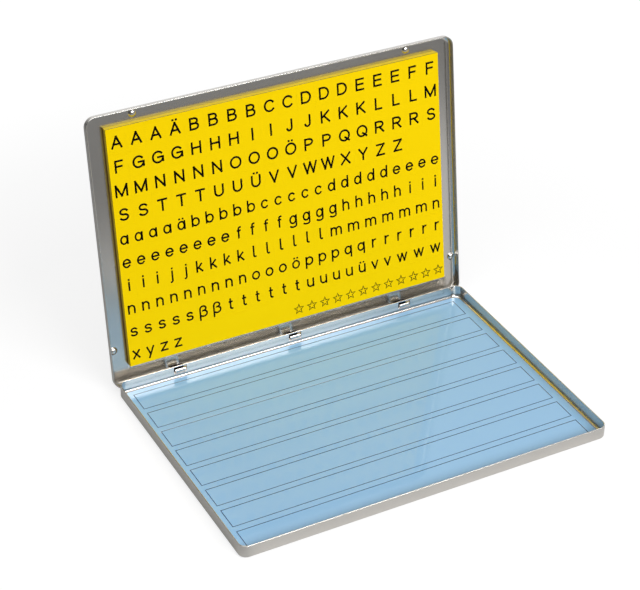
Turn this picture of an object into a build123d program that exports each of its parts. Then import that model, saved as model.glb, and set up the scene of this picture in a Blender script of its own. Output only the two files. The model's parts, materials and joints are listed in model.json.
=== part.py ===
from build123d import *
import math
import os

os.makedirs("parts", exist_ok=True)

# A flat hinged tinplate case for magnetic letter tiles, standing open.
# Origin: centre of the base tray's underside.  +X right, -Y front, +Z up.  Millimetres.

# ---- sheet metal ---------------------------------------------------------------
SHEET = 0.3                 # thickness of the tinplate
HEM = 0.6                   # width and height of the rolled rim bead
HEM_ROUND = 0.26            # rounding of the bead's two top edges

# ---- base tray -----------------------------------------------------------------
BASE_WIDTH = 230.0
BASE_DEPTH = 161.0
BASE_HEIGHT = 8.3
BASE_CORNER = 4.8           # corner radius seen from above
BASE_FILLET = 1.5           # bend from the floor into the walls

# ---- hinge ---------------------------------------------------------------------
HINGE_Y = 81.2              # hinge axis, in the gap between the back wall and the lid's skirt
HINGE_Z = 4.6
OPEN_LEAN = 9.0             # the open lid leans this many degrees behind upright
TONGUE_X = (-75.5, 0.0, 75.5)
TONGUE_WIDTH = 6.4
TONGUE_INNER = 1.55         # radii of the curl about the hinge axis
TONGUE_OUTER = 1.85
TONGUE_ROOT = 20.0          # the curl starts this far inside the lid's rim bead, in degrees
TONGUE_CURL = 131.0         # and ends this far round, so that it stays hooked in the slot
SLOT_LENGTH = 8.2
SLOT_BOTTOM = 2.6
SLOT_TOP = 7.4

# ---- lid: "up" runs from the hinge to the free edge, "out" towards the tray ------
LID_WIDTH = 232.8
LID_BACK = -2.14            # outer face of the hinged skirt, along "up"
LID_FRONT = 164.85          # outer face of the free skirt, along "up"
LID_RIM = -0.46             # rim plane, along "out"
LID_DEPTH = 5.0
LID_CORNER = 6.2
LID_FILLET = 2.6
BUMP_RADIUS = 3.1           # ball that presses the four dimples into the lid, beside its bends
BUMP_RISE = 1.25            # top of a dimple above the inside of the panel
BUMP_SIDE_INSET = 3.2       # dimple centre, in from the outside of a side skirt
BUMP_SIDE_UP = 20.7
BUMP_FRONT_INSET = 4.1      # dimple centre, in from the outside of the free skirt
BUMP_FRONT_X = 86.8

# ---- ruled card in the tray ------------------------------------------------------
CARD_THICKNESS = 0.45
CARD_CLEARANCE = 0.5        # gap between the card and the tray's walls

# ---- letter block in the lid -----------------------------------------------------
CELL_WIDE = 11.7333         # a capital tile, 18 to a row
CELL_NARROW = 8.8           # a small tile, 24 to a row
ROW_HEIGHT = 14.44
BLOCK_WIDTH = 211.2
BLOCK_MARGIN = 0.8          # border above the first row and below the last
BLOCK_CENTRE_X = 0.5
BLOCK_BOTTOM = 9.93         # lower edge of the block, along "up"
FOIL = 0.6                  # thickness of the magnetic foil
FACE_OUT = -1.21            # printed face, along "out"
CUT_GAP = 0.02              # knife cut between two tiles

CAPITAL_ROWS = {
    1: "AAAÄBBBBCCDDDEEEFF",
    2: "FGGGHHHIIJJKKKLLLM",
    3: "MMNNNNOOOÖPPQQRRRS",
    4: "SSTTTUUÜVVWWXYZZ",
}
SMALL_ROWS = {
    5: "aaaaäbbbbbcccccdddddeeee",
    6: "eeeeeeeeffffgggghhhhhiii",
    7: "iiijjkkkkllllllmmmmmmn",
    8: "nnnnnnnnnoooöpppqqrrrrrr",
    9: "sssssßßttttttuuuuüvvwww",
    10: "xyzz",
}
WIDE_SMALL = "mw"           # these small letters take four thirds of a narrow cell
STAR_COUNT = 12

# ---- derived ---------------------------------------------------------------------
ROWS = len(CAPITAL_ROWS) + len(SMALL_ROWS)
BLOCK_HEIGHT = ROWS * ROW_HEIGHT + 2 * BLOCK_MARGIN
BLOCK_LEFT = BLOCK_CENTRE_X - BLOCK_WIDTH / 2
BLOCK_RIGHT = BLOCK_CENTRE_X + BLOCK_WIDTH / 2
BLOCK_TOP = BLOCK_BOTTOM + BLOCK_HEIGHT
PANEL_OUT = LID_RIM - LID_DEPTH         # outer face of the lid's panel
FLOOR_OUT = PANEL_OUT + SHEET           # inner face of the lid's panel
LID_LENGTH = LID_FRONT - LID_BACK
LID_CENTRE_UP = (LID_FRONT + LID_BACK) / 2
WALL_Y = BASE_DEPTH / 2 - SHEET / 2     # middle of the tray's back wall

lean = math.radians(OPEN_LEAN)
LID_UP = (0, math.sin(lean), math.cos(lean))
LID_OUT = (0, -math.cos(lean), math.sin(lean))


def lid_plane(out=0.0):
    """The lid's own plane: x to the right, y up the lid, z out of its open side."""
    hinge = Plane(origin=(0, HINGE_Y, HINGE_Z), x_dir=(1, 0, 0), z_dir=LID_OUT)
    return hinge.offset(out)


def on_lid(x, up, out):
    """A point given in the lid's own plane, in the model's frame."""
    return (x, HINGE_Y + up * LID_UP[1] + out * LID_OUT[1], HINGE_Z + up * LID_UP[2] + out * LID_OUT[2])


def save(part, name):
    part.label = name
    export_step(part, f"parts/{name}.step")


# ---- base tray -------------------------------------------------------------------
with BuildPart() as base_tray:
    with BuildSketch():
        RectangleRounded(BASE_WIDTH, BASE_DEPTH, BASE_CORNER)
    extrude(amount=BASE_HEIGHT)
    fillet(base_tray.faces().sort_by(Axis.Z)[0].edges(), BASE_FILLET)
    offset(amount=-SHEET, openings=base_tray.faces().sort_by(Axis.Z)[-1])
    with BuildSketch(Plane.XY.offset(BASE_HEIGHT - HEM)):
        RectangleRounded(BASE_WIDTH, BASE_DEPTH, BASE_CORNER)
        RectangleRounded(BASE_WIDTH - 2 * HEM, BASE_DEPTH - 2 * HEM, BASE_CORNER - HEM, mode=Mode.SUBTRACT)
    extrude(amount=HEM)
    fillet(base_tray.faces().sort_by(Axis.Z)[-1].edges(), HEM_ROUND)
    with BuildSketch(Plane.XZ.offset(-WALL_Y)):
        with Locations(*[(x, (SLOT_BOTTOM + SLOT_TOP) / 2) for x in TONGUE_X]):
            Rectangle(SLOT_LENGTH, SLOT_TOP - SLOT_BOTTOM)
    extrude(amount=3 * SHEET, both=True, mode=Mode.SUBTRACT)
save(base_tray.part, "base_tray")

# ---- lid ---------------------------------------------------------------------------
with BuildPart() as lid_outside:
    with BuildSketch(lid_plane(LID_RIM)):
        with Locations((0, LID_CENTRE_UP)):
            RectangleRounded(LID_WIDTH, LID_LENGTH, LID_CORNER)
    extrude(amount=-LID_DEPTH)
    panel_face = lid_outside.faces().sort_by(Axis(on_lid(0, 0, 0), LID_OUT))[0]
    fillet(panel_face.edges(), LID_FILLET)

BUMP_OUT = FLOOR_OUT + BUMP_RISE - BUMP_RADIUS
BUMP_X = LID_WIDTH / 2 - BUMP_SIDE_INSET
BUMP_FRONT_UP = LID_FRONT - BUMP_FRONT_INSET
BUMPS = [
    on_lid(-BUMP_X, BUMP_SIDE_UP, BUMP_OUT),
    on_lid(BUMP_X, BUMP_SIDE_UP, BUMP_OUT),
    on_lid(-BUMP_FRONT_X, BUMP_FRONT_UP, BUMP_OUT),
    on_lid(BUMP_FRONT_X, BUMP_FRONT_UP, BUMP_OUT),
]

with BuildPart() as lid:
    add(lid_outside.part)
    rim_face = lid.faces().sort_by(Axis(on_lid(0, 0, 0), LID_OUT))[-1]
    offset(amount=-SHEET, openings=rim_face)
    with BuildSketch(lid_plane(LID_RIM)):
        with Locations((0, LID_CENTRE_UP)):
            RectangleRounded(LID_WIDTH, LID_LENGTH, LID_CORNER)
            RectangleRounded(LID_WIDTH - 2 * HEM, LID_LENGTH - 2 * HEM, LID_CORNER - HEM, mode=Mode.SUBTRACT)
    extrude(amount=-HEM)
    fillet(lid.faces().sort_by(Axis(on_lid(0, 0, 0), LID_OUT))[-1].edges(), HEM_ROUND)
    with Locations(*BUMPS):
        Sphere(BUMP_RADIUS)
    add(lid_outside.part, mode=Mode.INTERSECT)
    with Locations(*BUMPS):
        Sphere(BUMP_RADIUS - SHEET, mode=Mode.SUBTRACT)
    # Three tongues: each leaves the hinged rim and curls about the hinge axis, through its slot.
    for tongue_x in TONGUE_X:
        side = Plane(origin=(tongue_x - TONGUE_WIDTH / 2, HINGE_Y, HINGE_Z), x_dir=LID_OUT, z_dir=(1, 0, 0))
        with BuildSketch(side):
            with BuildLine():
                inner = CenterArc((0, 0), TONGUE_INNER, 90 - TONGUE_CURL, TONGUE_CURL + TONGUE_ROOT)
                outer = CenterArc((0, 0), TONGUE_OUTER, 90 - TONGUE_CURL, TONGUE_CURL + TONGUE_ROOT)
                Line(inner @ 0, outer @ 0)
                Line(inner @ 1, outer @ 1)
            make_face()
        extrude(amount=TONGUE_WIDTH)
save(lid.part, "lid")

# ---- ruled card --------------------------------------------------------------------
CARD_INSET = BASE_FILLET + CARD_CLEARANCE
with BuildPart() as writing_card:
    with BuildSketch(Plane.XY.offset(SHEET)):
        RectangleRounded(BASE_WIDTH - 2 * CARD_INSET, BASE_DEPTH - 2 * CARD_INSET, BASE_CORNER - HEM)
    extrude(amount=CARD_THICKNESS)
save(writing_card.part, "writing_card")

# ---- pad under the foil --------------------------------------------------------------
PAD_THICKNESS = FACE_OUT - FOIL - FLOOR_OUT
with BuildPart() as foam_pad:
    with BuildSketch(lid_plane(FLOOR_OUT)):
        with Locations((BLOCK_CENTRE_X, BLOCK_BOTTOM + BLOCK_HEIGHT / 2)):
            Rectangle(BLOCK_WIDTH, BLOCK_HEIGHT)
    extrude(amount=PAD_THICKNESS)
save(foam_pad.part, "foam_pad")


# ---- the foil, cut into tiles ----------------------------------------------------------
def cell_edges(letters, narrow, first=0):
    """The x of each cell's left and right edge for a row that starts at cell "first"."""
    edges = []
    left = BLOCK_LEFT + first * narrow
    for letter in letters:
        width = narrow * (4 / 3 if letter in WIDE_SMALL else 1)
        edges.append((left, left + width))
        left += width
    return edges


def foil_row(row, edges):
    """One row of foil tiles, a thin knife gap apart, flush with the block's edges."""
    top = BLOCK_TOP - BLOCK_MARGIN - (row - 1) * ROW_HEIGHT - CUT_GAP / 2
    bottom = top - ROW_HEIGHT + CUT_GAP
    if row == 1:
        top = BLOCK_TOP
    if row == ROWS:
        bottom = BLOCK_BOTTOM
    with BuildPart() as tiles:
        with BuildSketch(lid_plane(FACE_OUT - FOIL)):
            for left, right in edges:
                start = BLOCK_LEFT if abs(left - BLOCK_LEFT) < CUT_GAP else left + CUT_GAP / 2
                end = BLOCK_RIGHT if abs(right - BLOCK_RIGHT) < CUT_GAP else right - CUT_GAP / 2
                with Locations(((start + end) / 2, (top + bottom) / 2)):
                    Rectangle(end - start, top - bottom)
        extrude(amount=FOIL)
    return tiles.part


for row, letters in CAPITAL_ROWS.items():
    save(foil_row(row, cell_edges(letters, CELL_WIDE)), f"capital_tiles_row_{row}")
for row, letters in SMALL_ROWS.items():
    save(foil_row(row, cell_edges(letters, CELL_NARROW)), f"small_tiles_row_{row}")

last_capital = cell_edges(CAPITAL_ROWS[4], CELL_WIDE)[-1][1]
save(foil_row(4, [(last_capital, BLOCK_RIGHT)]), "blank_strip_capitals")

first_star = BLOCK_RIGHT - STAR_COUNT * CELL_NARROW
star_edges = [(first_star + i * CELL_NARROW, first_star + (i + 1) * CELL_NARROW) for i in range(STAR_COUNT)]
save(foil_row(ROWS, star_edges), "star_tiles")

last_small = cell_edges(SMALL_ROWS[ROWS], CELL_NARROW)[-1][1]
save(foil_row(ROWS, [(last_small, first_star)]), "blank_strip_small")
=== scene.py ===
"""A flat hinged tinplate case, standing open: magnetic letter tiles in the lid, a ruled card in the tray."""

import json
import math

import bpy
from mathutils import Matrix, Vector

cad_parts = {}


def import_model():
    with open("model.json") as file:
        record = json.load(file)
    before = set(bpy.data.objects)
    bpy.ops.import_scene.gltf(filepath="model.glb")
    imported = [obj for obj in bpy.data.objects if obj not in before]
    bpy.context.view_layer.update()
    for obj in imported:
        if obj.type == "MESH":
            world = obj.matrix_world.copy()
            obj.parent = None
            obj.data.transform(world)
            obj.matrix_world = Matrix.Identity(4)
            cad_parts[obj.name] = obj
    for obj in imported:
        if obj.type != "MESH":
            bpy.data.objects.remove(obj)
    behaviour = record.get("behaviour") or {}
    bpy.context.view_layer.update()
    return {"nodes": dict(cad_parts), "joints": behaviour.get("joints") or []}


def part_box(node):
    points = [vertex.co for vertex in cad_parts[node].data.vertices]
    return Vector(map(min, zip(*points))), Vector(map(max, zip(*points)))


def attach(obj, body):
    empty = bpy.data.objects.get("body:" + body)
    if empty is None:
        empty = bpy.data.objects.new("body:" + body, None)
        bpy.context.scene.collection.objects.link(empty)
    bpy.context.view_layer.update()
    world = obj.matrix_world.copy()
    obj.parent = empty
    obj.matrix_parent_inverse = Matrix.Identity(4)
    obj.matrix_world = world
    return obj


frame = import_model()

MM = 0.001

# ---- the lid's own directions, from the frame's joints -----------------------------------------------
JOINTS = {joint["name"]: joint for joint in frame["joints"]}
HINGE = Vector(JOINTS["lid_hinge"]["pos_m"])
LID_RIGHT = Vector(JOINTS["lid_hinge"]["axis"])
LID_OUT = Vector(JOINTS["star_tiles_lift"]["axis"]).normalized()
LID_UP = LID_OUT.cross(LID_RIGHT)
LID_BACK = -LID_OUT
UP = Vector((0, 0, 1))
BACK = Vector((0, 1, 0))
LEFT = Vector((-1, 0, 0))

# ---- hinge, measured from its axis; where the metal behind the slots is painted dark as shade --------
TONGUE_SPREAD = 75.5 * MM           # the outer tongues, either side of the middle one
SLOT_REACH = 4.15 * MM              # just over half a slot's length
CURL_BACK = (-1.05 * MM, 1.9 * MM)  # what a tongue's curl and a slot's edges take up behind the axis
CURL_UP = (-1.2 * MM, 2.9 * MM)
BEND_UP = 0.46 * MM                 # centre of the lid's bend beside the hinge, in the lid's directions
BEND_BACK = 2.86 * MM
BEND_MIDDLE = 2.45 * MM             # radius between the bend's inner and outer face
BEND_RIM = 0.9 * MM                 # the painted shade of the bend ends here towards the rim
BEND_TOP = 0.5 * MM                 # and here up the panel

# ---- foil, pad and film over the card ----------------------------------------------------------------
FACE_DEPTH = 0.12 * MM              # printed colour goes this deep from a tile's face
PAD_SIDE = 0.3 * MM                 # depth of the pad's left side that gets painted shade
PAD_SHADE = 3.6 * MM                # height over which that painted shade fades
FILM = dict(Coat_Weight=1.0, Coat_Roughness=0.03, Coat_IOR=1.45)

# ---- lettering ---------------------------------------------------------------------------------------
CAPITAL_ROWS = {
    1: "AAAÄBBBBCCDDDEEEFF",
    2: "FGGGHHHIIJJKKKLLLM",
    3: "MMNNNNOOOÖPPQQRRRS",
    4: "SSTTTUUÜVVWWXYZZ",
}
SMALL_ROWS = {
    5: "aaaaäbbbbbcccccdddddeeee",
    6: "eeeeeeeeffffgggghhhhhiii",
    7: "iiijjkkkkllllllmmmmmmn",
    8: "nnnnnnnnnoooöpppqqrrrrrr",
    9: "sssssßßttttttuuuuüvvwww",
    10: "xyzz",
}
CAPITALS_PER_ROW = 18
SMALLS_PER_ROW = 24
WIDE_SMALL = "mw"                   # these take four thirds of a small letter's cell
STAR_COUNT = 12

BASELINE = 3.2 * MM                 # above the lower edge of a row of tiles
CAP_HEIGHT = 7.6 * MM
X_HEIGHT = 5.7 * MM
DESCENT = 2.0 * MM
CAPITAL_PEN = 1.2 * MM
SMALL_PEN = 1.08 * MM
INK_THICKNESS = 0.03 * MM
DOT_RISE = 1.15 * MM                # umlaut dots, above the letter's top
DOT_SPREAD = 1.05 * MM              # each dot, either side of the letter's middle
ARC_STEP = 12                       # degrees between two points of an arc
CLOSED = 0.01 * MM                  # a stroke whose ends are nearer than this is a closed one
DOT_LENGTH = 0.04 * MM              # an umlaut dot's stroke, before the pen's own width
SUNK = 0.42                         # middle of a printed line above its ground, as a share of its thickness

STAR_RADIUS = 3.3 * MM
STAR_WAIST = 0.39                   # inner radius as a share of the outer
STAR_RISE = 2.2 * MM                # centre of a star above the baseline
STAR_LINE = 0.7 * MM

# Width of each letter's ink, in millimetres.
CAPITAL_WIDTHS = dict(
    A=6.7, B=6.0, C=6.9, D=6.6, E=5.7, F=5.2, G=7.3, H=6.3, I=1.1, J=4.3, K=6.1, L=4.9, M=7.7,
    N=6.3, O=7.4, P=5.8, Q=7.4, R=6.2, S=5.9, T=6.2, U=6.2, V=6.4, W=9.1, X=6.5, Y=6.3, Z=5.9,
)
SMALL_WIDTHS = dict(
    a=5.1, b=5.0, c=4.8, d=5.0, e=5.2, f=2.7, g=5.0, h=4.7, i=0.9, j=1.8, k=4.4, l=1.9, m=7.7, n=4.7,
    o=5.3, p=5.0, q=5.1, r=2.8, s=4.6, ß=5.4, t=2.7, u=4.8, v=4.8, w=7.2, x=4.7, y=5.0, z=4.8,
)
UMLAUTS = {"Ä": "A", "Ö": "O", "Ü": "U", "ä": "a", "ö": "o", "ü": "u"}

# ---- ruled card --------------------------------------------------------------------------------------
BOX_COUNT = 8
BOX_LENGTH = 215.4 * MM
BOX_HEIGHT = 14.85 * MM
BOX_PITCH = 19.2 * MM
FIRST_BOX_Y = 74.85 * MM            # far edge of the box nearest the hinge
RULE_WIDTH = 0.66 * MM
RULE_THICKNESS = 0.012 * MM

# ---- camera ------------------------------------------------------------------------------------------
FRAME_WIDTH = 640
FOCAL_PIXELS = 1993.8
SENSOR = 36.0
CAMERA_SPOT = Vector((-0.45931, -0.78195, 0.69255))
CAMERA_AZIMUTH = math.radians(28.887)
CAMERA_DROP = math.radians(33.942)
CAMERA_ROLL = math.radians(1.334)

# ---- room --------------------------------------------------------------------------------------------
SKY = 0.27                          # the room's light on the case; the camera sees white
FLOOR_DROP = 0.1 * MM               # the floor lies this far under the tray
FLOOR_REACH = 3.0
FLOOR_SEEN = 0.95                   # the floor's grey to the camera
FLOOR_DARK = 0.17                   # and its two greys in the metal's reflections: painted light and shade
FLOOR_PALE = 0.72
FRONT_EDGE = Vector((0, -0.083, 0))  # the reflected floor is painted pale, as lit, just in front of the tray
FRONT_FADE = (0.005, 0.19)
PAINTED_POOL = Vector((0.3, -0.12, 0.0))    # and around this place on the right: a painted pool of light
PAINTED_POOL_FADE = (0.08, 0.34)
LEFT_EDGE = Vector((-0.1, 0, 0))    # and painted darker to the left of this one, as shade
LEFT_FADE = (0.0, 0.03)
LEFT_SHADE = 0.45
CENTRE = Vector((0, 0, 0))
GLOW = 1.08                         # the floor's own white, to the camera
GLOW_FADE = (0.25, 0.6)             # distances over which it takes over from the shadowed floor
GLOW_LEAST = 0.72                   # its share beside the case
LEFT_LIGHT = 0.15                   # the room's light from the left, as a share of that from the right
FRONT_LIGHT = 0.3                   # the reflected room in front, as a share of that behind


# ---- node trees --------------------------------------------------------------------------------------
class Value:
    """A shader socket that adds Math nodes when it is used in an expression."""

    def __init__(self, nodes, socket):
        self.nodes = nodes
        self.socket = socket

    def math(self, operation, *others, swap=False):
        terms = [self, *others]
        if swap:
            terms.reverse()
        node = self.nodes.add("ShaderNodeMath", {"operation": operation}, dict(enumerate(terms)))
        return Value(self.nodes, node.outputs[0])

    def __add__(self, other):
        return self.math("ADD", other)

    def __sub__(self, other):
        return self.math("SUBTRACT", other)

    def __rsub__(self, other):
        return self.math("SUBTRACT", other, swap=True)

    def __mul__(self, other):
        return self.math("MULTIPLY", other)

    __radd__ = __add__
    __rmul__ = __mul__

    def above(self, level):
        return self.math("GREATER_THAN", level)

    def between(self, low, high):
        return self.above(low) * (1 - self.above(high))

    def ramp(self, low, high):
        """Nought at low, one at high, and straight between them."""
        slope = (self - low) * (1 / (high - low))
        return slope.math("MAXIMUM", 0.0).math("MINIMUM", 1.0)

    def fade(self, low, high, least):
        """A least level at low, one at high, and straight between them."""
        return self.ramp(low, high) * (1 - least) + least


class Nodes:
    """A node tree, and the one way in which this script adds a node to it."""

    def __init__(self, tree):
        self.tree = tree

    def add(self, kind, settings=None, inputs=None):
        node = self.tree.nodes.new(kind)
        for name, setting in (settings or {}).items():
            setattr(node, name, setting)
        for key, given in (inputs or {}).items():
            socket = self.find(node.inputs, key)
            if isinstance(given, Value):
                given = given.socket
            if isinstance(given, bpy.types.NodeSocket):
                self.tree.links.new(given, socket)
            else:
                socket.default_value = given
        return node

    @staticmethod
    def find(sockets, key):
        """A socket by place, by name, or by identifier where two share a name."""
        if isinstance(key, int) or key in sockets:
            return sockets[key]
        return next(socket for socket in sockets if socket.identifier == key)


class Finish(Nodes):
    """A material made of nodes that read the object's own coordinates."""

    def __init__(self, name):
        self.material = bpy.data.materials.new(name)
        self.material.use_nodes = True
        super().__init__(self.material.node_tree)
        self.tree.nodes.clear()
        self.place = self.add("ShaderNodeTexCoord").outputs["Object"]

    def noise(self, scale, stretch=(1, 1, 1), detail=3.0):
        mapped = self.add("ShaderNodeMapping", None, {"Vector": self.place, "Scale": stretch})
        wanted = {"Vector": mapped.outputs[0], "Scale": scale, "Detail": detail}
        return Value(self, self.add("ShaderNodeTexNoise", None, wanted).outputs[0])

    def along(self, direction, origin):
        """How far a point lies along a direction, from an origin."""
        dot = self.add("ShaderNodeVectorMath", {"operation": "DOT_PRODUCT"}, {0: self.place, 1: direction})
        return Value(self, dot.outputs["Value"]) - direction.dot(origin)

    def distance(self, origin):
        away = self.add("ShaderNodeVectorMath", {"operation": "DISTANCE"}, {0: self.place, 1: origin})
        return Value(self, away.outputs["Value"])

    def mix(self, factor, low, high):
        wanted = {"Factor_Float": factor, "A_Color": low, "B_Color": high}
        node = self.add("ShaderNodeMix", {"data_type": "RGBA"}, wanted)
        return self.find(node.outputs, "Result_Color")

    def bump(self, height, depth, strength=1.0):
        wanted = {"Height": height, "Distance": depth, "Strength": strength}
        return self.add("ShaderNodeBump", None, wanted).outputs[0]

    def surface(self, **sockets):
        named = {name.replace("_", " "): given for name, given in sockets.items()}
        shader = self.add("ShaderNodeBsdfPrincipled", None, named)
        self.output(shader.outputs[0])
        return self.material

    def output(self, shader):
        self.add("ShaderNodeOutputMaterial", None, {"Surface": shader})


def rgb(red, green, blue):
    """A colour given as it looks on screen, 0 to 255, as linear light with full alpha."""
    def linear(level):
        level /= 255
        return level / 12.92 if level <= 0.04045 else ((level + 0.055) / 1.055) ** 2.4
    return (linear(red), linear(green), linear(blue), 1.0)


def grey(level):
    """A neutral colour, given as linear light."""
    return (level, level, level, 1.0)


# ---- finishes ----------------------------------------------------------------------------------------
def painted_slot_shade(finish):
    """Painted shade: one on the metal that a hinge slot shows behind the tray's wall, nought elsewhere."""
    across = finish.along(LID_RIGHT, HINGE).math("ABSOLUTE")
    beside = (across - TONGUE_SPREAD).math("ABSOLUTE").math("MINIMUM", across)
    curl = finish.along(BACK, HINGE).between(*CURL_BACK) * finish.along(UP, HINGE).between(*CURL_UP)
    up = finish.along(LID_UP, HINGE)
    deep = finish.along(LID_BACK, HINGE)
    low = (BEND_UP - up).math("MAXIMUM", 0.0)
    far = (deep - BEND_BACK).math("MAXIMUM", 0.0)
    inside = 1 - (low * low + far * far).math("SQRT").above(BEND_MIDDLE)
    pocket = inside * deep.above(BEND_RIM) * (1 - up.above(BEND_TOP))
    return curl.math("MAXIMUM", pocket) * (1 - beside.above(SLOT_REACH))


def tinplate():
    finish = Finish("satin_tinplate")
    cloud = finish.noise(14.0)
    grain = finish.noise(900.0, stretch=(0.06, 1, 1), detail=2.0)
    plate = finish.mix(cloud, rgb(206, 203, 198), rgb(212, 209, 204))
    return finish.surface(
        # painted shade: the metal seen through the hinge slots is coloured near black
        Base_Color=finish.mix(painted_slot_shade(finish), plate, rgb(15, 15, 16)),
        Metallic=1.0,
        Roughness=cloud * 0.05 + grain * 0.02 + 0.18,
    )


def foil(face_out):
    """Printed yellow on the face, the dark magnetic core on the cut edges."""
    finish = Finish("yellow_magnetic_foil")
    face = finish.along(LID_OUT, HINGE).above(face_out - FACE_DEPTH)
    cloud = finish.noise(22.0)
    speck = finish.noise(1500.0, detail=1.0)
    yellow = finish.mix(cloud, rgb(243, 206, 0), rgb(246, 210, 1))
    return finish.surface(
        Base_Color=finish.mix(face, rgb(60, 40, 10), yellow),
        Roughness=cloud * 0.1 + 0.42,
        Specular_IOR_Level=0.04,
        Normal=finish.bump(speck, 0.01 * MM, 0.4),
    )


def ink():
    finish = Finish("letter_ink")
    cloud = finish.noise(400.0)
    return finish.surface(
        Base_Color=finish.mix(cloud, rgb(8, 6, 3), rgb(18, 14, 8)),
        Roughness=0.45,
        Specular_IOR_Level=0.04,
    )


def foam():
    """Yellow foam, with painted shade at the foot of the pad's left side."""
    finish = Finish("yellow_foam")
    cells = finish.noise(2600.0, detail=2.0)
    side = finish.along(-LID_RIGHT, HINGE + LID_RIGHT * BLOCK_LEFT).above(-PAD_SIDE)
    painted_foot_shade = side * (1 - finish.along(LID_OUT, HINGE).ramp(PAD_FOOT, PAD_FOOT + PAD_SHADE))
    yellow = finish.mix(cells, rgb(236, 205, 44), rgb(250, 222, 62))
    return finish.surface(
        # painted shade: dark brown at the foot of the pad's left side
        Base_Color=finish.mix(painted_foot_shade, yellow, rgb(88, 56, 14)),
        Roughness=0.75,
        Specular_IOR_Level=0.2,
        Normal=finish.bump(cells, 0.02 * MM, 0.4),
    )


def card():
    finish = Finish("blue_card")
    cloud = finish.noise(9.0)
    fibre = finish.noise(700.0, detail=2.0)
    return finish.surface(
        Base_Color=finish.mix(cloud * 0.7 + fibre * 0.3, rgb(145, 190, 227), rgb(150, 194, 230)),
        Roughness=0.5,
        Specular_IOR_Level=0.0,
        **FILM,
    )


def rule_ink():
    finish = Finish("rule_ink")
    cloud = finish.noise(300.0)
    return finish.surface(
        Base_Color=finish.mix(cloud, rgb(6, 42, 82), rgb(12, 52, 94)),
        Roughness=0.5,
        Specular_IOR_Level=0.0,
        **FILM,
    )


# ---- how each letter is drawn: pen strokes on its centre line, in a box w wide and h high ------------
def arc(x, y, across, up, start, end):
    """Points on an ellipse's arc, its centre and half sizes given, from one angle to another in degrees."""
    steps = max(2, round(abs(end - start) / ARC_STEP))
    angles = [math.radians(start + (end - start) * i / steps) for i in range(steps + 1)]
    return [(x + across * math.cos(a), y + up * math.sin(a)) for a in angles]


def ring(x, y, across, up):
    return arc(x, y, across, up, 0, 360)


def bowl(w, low, high, straight):
    """A half round that leaves the stem at the top and comes back to it at the bottom."""
    middle = (low + high) / 2
    turn = arc(straight, middle, w - straight, (high - low) / 2, 90, -90)
    return [(0, high), *turn, (0, low)]


def arch(left, right, top, spring):
    """The shoulder of an n: up from the stem, over, and down to the baseline."""
    half = (right - left) / 2
    return [*arc(left + half, spring, half, top - spring, 180, 0), (right, 0)]


def double_curve(w, h):
    """The two joined bends of an s."""
    waist = 0.51 * h
    upper = arc(0.5 * w, (h + waist) / 2, 0.46 * w, (h - waist) / 2, 28, 270)
    lower = arc(0.5 * w, waist / 2, 0.5 * w, waist / 2, 90, -152)
    return upper + lower[1:]


def zigzag(*points):
    """Straight strokes from point to point, each one its own stroke so that the corners stay sharp."""
    return [[a, b] for a, b in zip(points, points[1:])]


def capital_strokes(letter, w, h):
    half = w / 2
    stem = [(0, 0), (0, h)]
    if letter == "A":
        return [*zigzag((0, 0), (half, h), (w, 0)), [(0.16 * w, 0.31 * h), (0.84 * w, 0.31 * h)]]
    if letter == "B":
        return [stem, bowl(0.9 * w, 0.53 * h, h, 0.5 * w), bowl(w, 0, 0.53 * h, 0.56 * w)]
    if letter == "C":
        return [arc(0.53 * w, h / 2, 0.53 * w, h / 2, 42, 318)]
    if letter == "D":
        return [stem, bowl(w, 0, h, 0.42 * w)]
    if letter == "E":
        return [stem, [(0, h), (w, h)], [(0, 0.52 * h), (0.93 * w, 0.52 * h)], [(0, 0), (w, 0)]]
    if letter == "F":
        return [stem, [(0, h), (w, h)], [(0, 0.5 * h), (0.9 * w, 0.5 * h)]]
    if letter == "G":
        turn = arc(half, h / 2, half, h / 2, 42, 330)
        return [turn, [(0.52 * w, 0.48 * h), (w, 0.48 * h)], [(w, 0.48 * h), (w, 0.1 * h)]]
    if letter == "H":
        return [stem, [(w, 0), (w, h)], [(0, 0.53 * h), (w, 0.53 * h)]]
    if letter == "I":
        return [[(half, 0), (half, h)]]
    if letter == "J":
        return [[(w, h), *arc(half, 0.27 * h, half, 0.27 * h, 0, -160)]]
    if letter == "K":
        return [stem, [(0.93 * w, h), (0, 0.4 * h)], [(0.3 * w, 0.6 * h), (w, 0)]]
    if letter == "L":
        return [stem, [(0, 0), (w, 0)]]
    if letter == "M":
        return [stem, [(w, 0), (w, h)], *zigzag((0, h), (half, 0.03 * h), (w, h))]
    if letter == "N":
        return [stem, [(w, 0), (w, h)], [(0, h), (w, 0)]]
    if letter == "O":
        return [ring(half, h / 2, half, h / 2)]
    if letter == "P":
        return [stem, bowl(w, 0.46 * h, h, half)]
    if letter == "Q":
        return [ring(half, h / 2, half, h / 2), [(0.58 * w, 0.3 * h), (0.97 * w, -0.01 * h)]]
    if letter == "R":
        return [stem, bowl(0.95 * w, 0.47 * h, h, half), [(0.5 * w, 0.47 * h), (w, 0)]]
    if letter == "S":
        return [double_curve(w, h)]
    if letter == "T":
        return [[(0, h), (w, h)], [(half, 0), (half, h)]]
    if letter == "U":
        return [[(0, h), *arc(half, 0.38 * h, half, 0.38 * h, 180, 360), (w, h)]]
    if letter == "V":
        return zigzag((0, h), (half, 0), (w, h))
    if letter == "W":
        return zigzag((0, h), (0.25 * w, 0), (half, h), (0.75 * w, 0), (w, h))
    if letter == "X":
        return [[(0, 0), (w, h)], [(0, h), (w, 0)]]
    if letter == "Y":
        fork = (half, 0.46 * h)
        return [[(0, h), fork], [(w, h), fork], [fork, (half, 0)]]
    return zigzag((0, h), (w, h), (0, 0), (w, 0))


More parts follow.
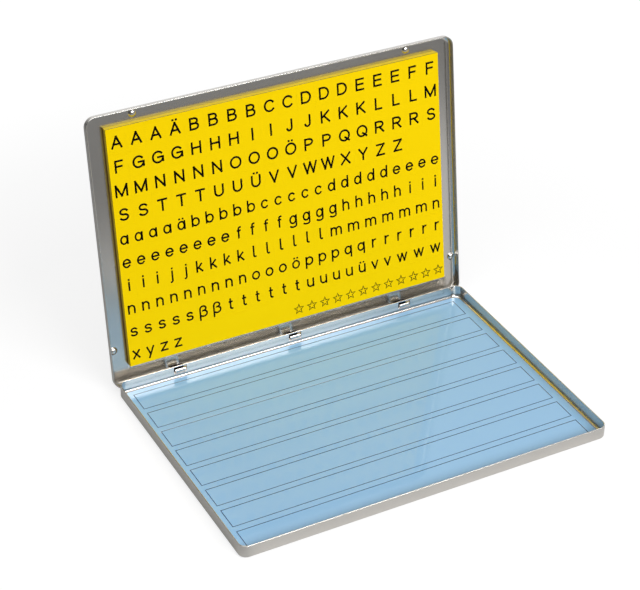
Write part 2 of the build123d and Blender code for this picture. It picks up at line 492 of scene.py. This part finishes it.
def small_strokes(letter, w, h, tall, deep):
    half = w / 2
    stem = [(0, 0), (0, h)]
    tall_stem = [(0, 0), (0, tall)]
    dot = [(half, tall - 0.1 * MM), (half, tall)]
    foot = 1.0 * MM
    left_ring = ring(0.47 * w, h / 2, 0.47 * w, h / 2)
    right_ring = ring(0.53 * w, h / 2, 0.53 * w, h / 2)
    if letter == "a":
        return [left_ring, [(w, 0), (w, h)]]
    if letter == "b":
        return [right_ring, tall_stem]
    if letter == "c":
        return [arc(0.53 * w, h / 2, 0.53 * w, h / 2, 44, 316)]
    if letter == "d":
        return [left_ring, [(w, 0), (w, tall)]]
    if letter == "e":
        return [arc(half, h / 2, half, h / 2, 2, 318), [(0, 0.51 * h), (w, 0.51 * h)]]
    if letter == "f":
        hook = arc(0.36 * w + foot, tall - foot, foot, foot, 180, 82)
        return [[(0.36 * w, 0), *hook], [(0, 0.96 * h), (0.92 * w, 0.96 * h)]]
    if letter == "g":
        return [left_ring, [(w, h), *arc(half, 0.72 * -deep, half, 0.28 * deep + 0.45 * MM, 0, -150)]]
    if letter == "h":
        return [tall_stem, arch(0, w, h, 0.58 * h)]
    if letter == "i":
        return [[(half, 0), (half, h)], dot]
    if letter == "j":
        hook = arc(w - foot, foot - deep, foot, foot, 0, -80)
        return [[(w, h), *hook], [(w, tall - 0.1 * MM), (w, tall)]]
    if letter == "k":
        return [tall_stem, [(0.88 * w, h), (0, 0.32 * h)], [(0.3 * w, 0.56 * h), (w, 0)]]
    if letter == "l":
        return [[(0, tall), *arc(foot, foot, foot, foot, 180, 275)]]
    if letter == "m":
        return [stem, arch(0, half, h, 0.6 * h), arch(half, w, h, 0.6 * h)]
    if letter == "n":
        return [stem, arch(0, w, h, 0.58 * h)]
    if letter == "o":
        return [ring(half, h / 2, half, h / 2)]
    if letter == "p":
        return [right_ring, [(0, h), (0, -deep)]]
    if letter == "q":
        return [left_ring, [(w, h), (w, -deep)]]
    if letter == "r":
        return [stem, arc(w, 0.55 * h, w, 0.44 * h, 178, 84)]
    if letter == "s":
        return [double_curve(w, h)]
    if letter == "ß":
        top = tall - 0.4 * w
        upper = arc(0.44 * w, top, 0.44 * w, 0.4 * w, 180, 0)
        turn = arc(0.44 * w, top, 0.44 * w, top - 0.56 * tall, 0, -90)
        lower = arc(0.5 * w, 0.28 * tall, 0.5 * w, 0.28 * tall, 90, -125)
        return [[(0, -deep), *upper, *turn[1:]], lower]
    if letter == "t":
        stem_x = 0.36 * w
        curl = arc(stem_x + foot, foot, foot, foot, 180, 278)
        return [[(stem_x, 0.93 * tall), *curl], [(0, 0.96 * h), (0.95 * w, 0.96 * h)]]
    if letter == "u":
        return [[(0, h), *arc(half, 0.42 * h, half, 0.42 * h, 180, 360)], [(w, 0), (w, h)]]
    if letter == "v":
        return zigzag((0, h), (half, 0), (w, h))
    if letter == "w":
        return zigzag((0, h), (0.25 * w, 0), (half, h), (0.75 * w, 0), (w, h))
    if letter == "x":
        return [[(0, 0), (w, h)], [(0, h), (w, 0)]]
    if letter == "y":
        return [[(0, h), (half, 0)], [(w, h), (half - half * deep / h, -deep)]]
    return zigzag((0, h), (w, h), (0, 0), (w, 0))


def letter_strokes(letter, pen):
    """A letter's strokes about the middle of its width, its ink standing on y = 0."""
    plain = UMLAUTS.get(letter, letter)
    if plain in CAPITAL_WIDTHS:
        width = CAPITAL_WIDTHS[plain] * MM - pen
        top = CAP_HEIGHT
        strokes = capital_strokes(plain, width, CAP_HEIGHT - pen)
    else:
        width = SMALL_WIDTHS[plain] * MM - pen
        top = X_HEIGHT
        strokes = small_strokes(plain, width, X_HEIGHT - pen, CAP_HEIGHT - pen, DESCENT)
    if plain != letter:
        for side in (-1, 1):
            x = width / 2 + side * DOT_SPREAD
            y = top + DOT_RISE - pen / 2
            strokes = [*strokes, [(x - DOT_LENGTH / 2, y), (x + DOT_LENGTH / 2, y)]]
    return [[(x - width / 2, y + pen / 2) for x, y in lengthened(stroke, pen / 2)] for stroke in strokes]


def lengthened(stroke, extra):
    """A stroke run on past both ends by half the pen, as a square pen leaves it; a closed one stays."""
    start, end = Vector(stroke[0]), Vector(stroke[-1])
    if (start - end).length < CLOSED:
        return stroke
    before = start + (start - Vector(stroke[1])).normalized() * extra
    after = end + (end - Vector(stroke[-2])).normalized() * extra
    return [tuple(before), *stroke[1:-1], tuple(after)]


# ---- geometry nodes ----------------------------------------------------------------------------------
class Recipe(Nodes):
    """A geometry node tree with named inputs."""

    def __init__(self, name, **inputs):
        super().__init__(bpy.data.node_groups.new(name, "GeometryNodeTree"))
        interface = self.tree.interface
        self.keys = {}
        for title, kind in (("Geometry", "Geometry"), *inputs.items(), ("Finish", "Material")):
            socket = interface.new_socket(title, in_out="INPUT", socket_type=f"NodeSocket{kind}")
            self.keys[title] = socket.identifier
        interface.new_socket("Geometry", in_out="OUTPUT", socket_type="NodeSocketGeometry")
        self.given = self.add("NodeGroupInput").outputs

    def swept(self, path, width, thickness):
        """A flat ribbon along a path that lies in the XY plane."""
        upright = self.add("GeometryNodeSetCurveNormal", {"mode": "Z_UP"}, {"Curve": path})
        profile = self.add("GeometryNodeCurvePrimitiveQuadrilateral", None,
                           {"Width": width, "Height": thickness})
        ribbon = self.add("GeometryNodeCurveToMesh", None, {
            "Curve": upright.outputs[0], "Profile Curve": profile.outputs[0], "Fill Caps": True})
        return ribbon.outputs[0]

    def finish(self, geometry):
        real = self.add("GeometryNodeRealizeInstances", None, {0: geometry})
        dressed = self.add("GeometryNodeSetMaterial", None,
                           {"Geometry": real.outputs[0], "Material": self.given["Finish"]})
        self.add("NodeGroupOutput", None, {0: dressed.outputs[0]})

    def make(self, source, name, place, **values):
        """The tree's result on a source object, as a plain mesh object put in its place."""
        modifier = source.modifiers.new(self.tree.name, "NODES")
        modifier.node_group = self.tree
        for title, given in values.items():
            modifier[self.keys[title.replace("_", " ")]] = given
        evaluated = source.evaluated_get(bpy.context.evaluated_depsgraph_get())
        mesh = bpy.data.meshes.new_from_object(evaluated)
        source.modifiers.remove(modifier)
        bpy.data.objects.remove(source)
        mesh.name = name
        mesh.transform(place)
        piece = bpy.data.objects.new(name, mesh)
        bpy.context.scene.collection.objects.link(piece)
        return piece


def pen_recipe():
    recipe = Recipe("pen_strokes", **{"Pen width": "Float", "Thickness": "Float"})
    given = recipe.given
    recipe.finish(recipe.swept(given["Geometry"], given["Pen width"], given["Thickness"]))
    return recipe


def copies(recipe, shape, count, step):
    """Copies of one outline in a straight line."""
    line = recipe.add("GeometryNodeMeshLine", {"mode": "OFFSET"}, {"Count": count, "Offset": step})
    placed = recipe.add("GeometryNodeInstanceOnPoints", None, {"Points": line.outputs[0], "Instance": shape})
    return placed.outputs[0]


def star_recipe():
    sizes = {"Count": "Int", "Pitch": "Vector", "Radius": "Float", "Waist": "Float",
             "Line width": "Float", "Thickness": "Float"}
    recipe = Recipe("star_row", **sizes)
    given = recipe.given
    star = recipe.add("GeometryNodeCurveStar", None, {
        "Points": 5, "Outer Radius": given["Radius"], "Inner Radius": given["Waist"]})
    upright = recipe.add("GeometryNodeTransform", None, {
        "Geometry": star.outputs[0], "Rotation": (0.0, 0.0, math.radians(18))})
    outline = recipe.swept(upright.outputs[0], given["Line width"], given["Thickness"])
    recipe.finish(copies(recipe, outline, given["Count"], given["Pitch"]))
    return recipe


def rule_recipe():
    sizes = {"Count": "Int", "Pitch": "Vector", "Length": "Float", "Height": "Float",
             "Line width": "Float", "Thickness": "Float"}
    recipe = Recipe("ruled_boxes", **sizes)
    given = recipe.given
    box = recipe.add("GeometryNodeCurvePrimitiveQuadrilateral", None, {
        "Width": given["Length"], "Height": given["Height"]})
    outline = recipe.swept(box.outputs[0], given["Line width"], given["Thickness"])
    recipe.finish(copies(recipe, outline, given["Count"], given["Pitch"]))
    return recipe


def bare(name):
    """An empty mesh object, for a recipe that makes everything itself."""
    source = bpy.data.objects.new(name, bpy.data.meshes.new(name))
    bpy.context.scene.collection.objects.link(source)
    return source


def stroke_curve(name, strokes):
    curve = bpy.data.curves.new(name, "CURVE")
    curve.dimensions = "3D"
    for stroke in strokes:
        closed = math.dist(stroke[0], stroke[-1]) < CLOSED
        points = stroke[:-1] if closed else stroke
        spline = curve.splines.new("POLY")
        spline.points.add(len(points) - 1)
        spline.points.foreach_set("co", [c for x, y in points for c in (x, y, 0.0, 1.0)])
        spline.use_cyclic_u = closed
    source = bpy.data.objects.new(name, curve)
    bpy.context.scene.collection.objects.link(source)
    return source


# ---- where the tiles are, from the frame -------------------------------------------------------------
class Extent:
    """How far a node reaches in the lid's own directions, from the hinge's axis."""

    def __init__(self, node):
        corners = [v.co - HINGE for v in frame["nodes"][node].data.vertices]
        self.left = min(c.dot(LID_RIGHT) for c in corners)
        self.right = max(c.dot(LID_RIGHT) for c in corners)
        self.bottom = min(c.dot(LID_UP) for c in corners)
        self.back = min(c.dot(LID_OUT) for c in corners)
        self.face = max(c.dot(LID_OUT) for c in corners)


first_row = Extent("capital_tiles_row_1")
ROW_PITCH = first_row.bottom - Extent("capital_tiles_row_2").bottom
FACE = first_row.face
BLOCK_LEFT = first_row.left
PAD_FOOT = Extent("foam_pad").back
BLOCK_WIDTH = first_row.right - first_row.left
CAPITAL_CELL = BLOCK_WIDTH / CAPITALS_PER_ROW
SMALL_CELL = BLOCK_WIDTH / SMALLS_PER_ROW


def baseline(row):
    return first_row.bottom - (row - 1) * ROW_PITCH + BASELINE


def on_face(x, up):
    """Turns flat work into the lid's plane, with its foot at a place on the printed face."""
    turn = Matrix((LID_RIGHT, LID_UP, LID_OUT)).transposed().to_4x4()
    spot = HINGE + LID_RIGHT * x + LID_UP * up + LID_OUT * (FACE + SUNK * INK_THICKNESS)
    return Matrix.Translation(spot) @ turn


# ---- pieces ------------------------------------------------------------------------------------------
def lettering(name, body, rows, cell, pen, recipe, finish):
    strokes = []
    for row, letters in rows.items():
        left = BLOCK_LEFT
        for letter in letters:
            width = cell * (4 / 3 if letter in WIDE_SMALL else 1)
            middle = left + width / 2
            left += width
            for stroke in letter_strokes(letter, pen):
                strokes.append([(x + middle, y + baseline(row)) for x, y in stroke])
    piece = recipe.make(stroke_curve(name, strokes), name, on_face(0, 0),
                        Pen_width=pen, Thickness=INK_THICKNESS, Finish=finish)
    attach(piece, body)
    return piece


def star_printing(finish):
    first = BLOCK_LEFT + BLOCK_WIDTH - (STAR_COUNT - 0.5) * SMALL_CELL
    place = on_face(first, baseline(10) + STAR_RISE)
    piece = star_recipe().make(bare("star_printing"), "star_printing", place,
                               Count=STAR_COUNT, Pitch=(SMALL_CELL, 0.0, 0.0), Radius=STAR_RADIUS,
                               Waist=STAR_RADIUS * STAR_WAIST, Line_width=STAR_LINE,
                               Thickness=INK_THICKNESS, Finish=finish)
    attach(piece, "star_tiles")
    return piece


def card_rules(finish):
    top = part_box("writing_card")[1].z
    spot = (0.0, FIRST_BOX_Y - BOX_HEIGHT / 2, top + SUNK * RULE_THICKNESS)
    piece = rule_recipe().make(bare("card_rules"), "card_rules", Matrix.Translation(spot),
                               Count=BOX_COUNT, Pitch=(0.0, -BOX_PITCH, 0.0), Length=BOX_LENGTH,
                               Height=BOX_HEIGHT, Line_width=RULE_WIDTH, Thickness=RULE_THICKNESS,
                               Finish=finish)
    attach(piece, "tray")
    return piece


def dress(nodes, finish):
    for node in nodes:
        slots = frame["nodes"][node].data.materials
        slots.clear()
        slots.append(finish)


# ---- studio ------------------------------------------------------------------------------------------
def floor():
    """White to the camera, with the case's shadow; the case itself sees greys of painted light and shade
    that suit its mirrors: pale in front and on the right, darker on the left.
    """
    finish = Finish("studio_floor")
    ray = finish.add("ShaderNodeLightPath").outputs
    seen = Value(finish, ray["Is Camera Ray"])
    painted_front_light = 1 - finish.along(-BACK, FRONT_EDGE).ramp(*FRONT_FADE)
    painted_pool = 1 - finish.distance(PAINTED_POOL).ramp(*PAINTED_POOL_FADE)
    left = finish.along(LEFT, LEFT_EDGE).ramp(*LEFT_FADE) * LEFT_SHADE
    # painted light and shade on the floor, seen only in the metal's reflections
    painted_reflected_floor = finish.mix(painted_front_light.math("MAXIMUM", painted_pool) - left, grey(FLOOR_DARK), grey(FLOOR_PALE))
    paint = finish.mix(seen, painted_reflected_floor, grey(FLOOR_SEEN))
    lit = finish.add("ShaderNodeBsdfDiffuse", None, {"Color": paint})
    white = finish.add("ShaderNodeEmission", None, {"Color": grey(1.0), "Strength": GLOW})
    lift = seen * finish.distance(CENTRE).fade(*GLOW_FADE, GLOW_LEAST)
    shown = finish.add("ShaderNodeMixShader", None, {0: lift, 1: lit.outputs[0], 2: white.outputs[0]})
    finish.output(shown.outputs[0])
    mesh = bpy.data.meshes.new("studio_floor")
    reach = FLOOR_REACH
    mesh.from_pydata([(-reach, -reach, 0), (reach, -reach, 0), (reach, reach, 0), (-reach, reach, 0)],
                     [], [(0, 1, 2, 3)])
    mesh.transform(Matrix.Translation((0, 0, -FLOOR_DROP)))
    mesh.materials.append(finish.material)
    piece = bpy.data.objects.new("studio_floor", mesh)
    bpy.context.scene.collection.objects.link(piece)


def softbox(name, towards, distance, width, height, watts):
    """An area lamp that looks back at the case from a direction."""
    lamp = bpy.data.lights.new(name, "AREA")
    lamp.shape = "RECTANGLE"
    lamp.size = width
    lamp.size_y = height
    lamp.energy = watts
    piece = bpy.data.objects.new(name, lamp)
    direction = Vector(towards).normalized()
    piece.location = direction * distance
    piece.rotation_euler = direction.to_track_quat("Z", "Y").to_euler()
    bpy.context.scene.collection.objects.link(piece)


def world():
    """White to the camera; dimmer in front and to the left of the case, as the case sees it."""
    studio = bpy.data.worlds.new("studio")
    studio.use_nodes = True
    nodes = Nodes(studio.node_tree)
    studio.node_tree.nodes.clear()
    ray = nodes.add("ShaderNodeLightPath").outputs
    direction = nodes.add("ShaderNodeTexCoord").outputs["Generated"]

    def towards(axis):
        dot = nodes.add("ShaderNodeVectorMath", {"operation": "DOT_PRODUCT"}, {0: direction, 1: axis})
        return Value(nodes, dot.outputs["Value"])

    open_side = towards(-LEFT).fade(-0.5, 0.2, LEFT_LIGHT)
    room = towards(BACK).fade(-0.2, 0.2, FRONT_LIGHT) * open_side
    seen = Value(nodes, ray["Is Camera Ray"])
    sky = (1 - seen) * open_side + seen
    strength = (seen + Value(nodes, ray["Is Glossy Ray"]) * room) * (1 - SKY) + sky * SKY
    glow = nodes.add("ShaderNodeBackground", None, {"Color": grey(1.0), "Strength": strength})
    nodes.add("ShaderNodeOutputWorld", None, {"Surface": glow.outputs[0]})
    bpy.context.scene.world = studio


def camera():
    lens = bpy.data.cameras.new("camera")
    lens.sensor_width = SENSOR
    lens.sensor_fit = "HORIZONTAL"
    lens.lens = FOCAL_PIXELS / FRAME_WIDTH * SENSOR
    piece = bpy.data.objects.new("camera", lens)
    turn, drop = CAMERA_AZIMUTH, CAMERA_DROP
    ahead = Vector((math.sin(turn) * math.cos(drop), math.cos(turn) * math.cos(drop), -math.sin(drop)))
    right = Vector((math.cos(turn), -math.sin(turn), 0))
    up = right.cross(ahead)
    axes = Matrix((right, up, -ahead)).transposed() @ Matrix.Rotation(CAMERA_ROLL, 3, "Z")
    piece.matrix_world = Matrix.Translation(CAMERA_SPOT) @ axes.to_4x4()
    bpy.context.scene.collection.objects.link(piece)
    bpy.context.scene.camera = piece


# ---- the case ----------------------------------------------------------------------------------------
camera()
world()
floor()
softbox("key", (0.19, -0.81, 0.55), distance=1.6, width=0.95, height=0.5, watts=18.1)
softbox("top", (-0.25, -0.25, 1.0), distance=1.5, width=1.2, height=1.2, watts=10.5)

tiles = [node for node in frame["nodes"] if "tiles" in node or "blank" in node]
dress(["base_tray", "lid"], tinplate())
dress(tiles, foil(FACE))
dress(["foam_pad"], foam())
dress(["writing_card"], card())

black = ink()
pen = pen_recipe()
lettering("capital_letters", "capital_tiles", CAPITAL_ROWS, CAPITAL_CELL, CAPITAL_PEN, pen, black)
lettering("small_letters", "small_tiles", SMALL_ROWS, SMALL_CELL, SMALL_PEN, pen, black)
star_printing(black)
card_rules(rule_ink())

bpy.context.scene.view_settings.view_transform = "Standard"
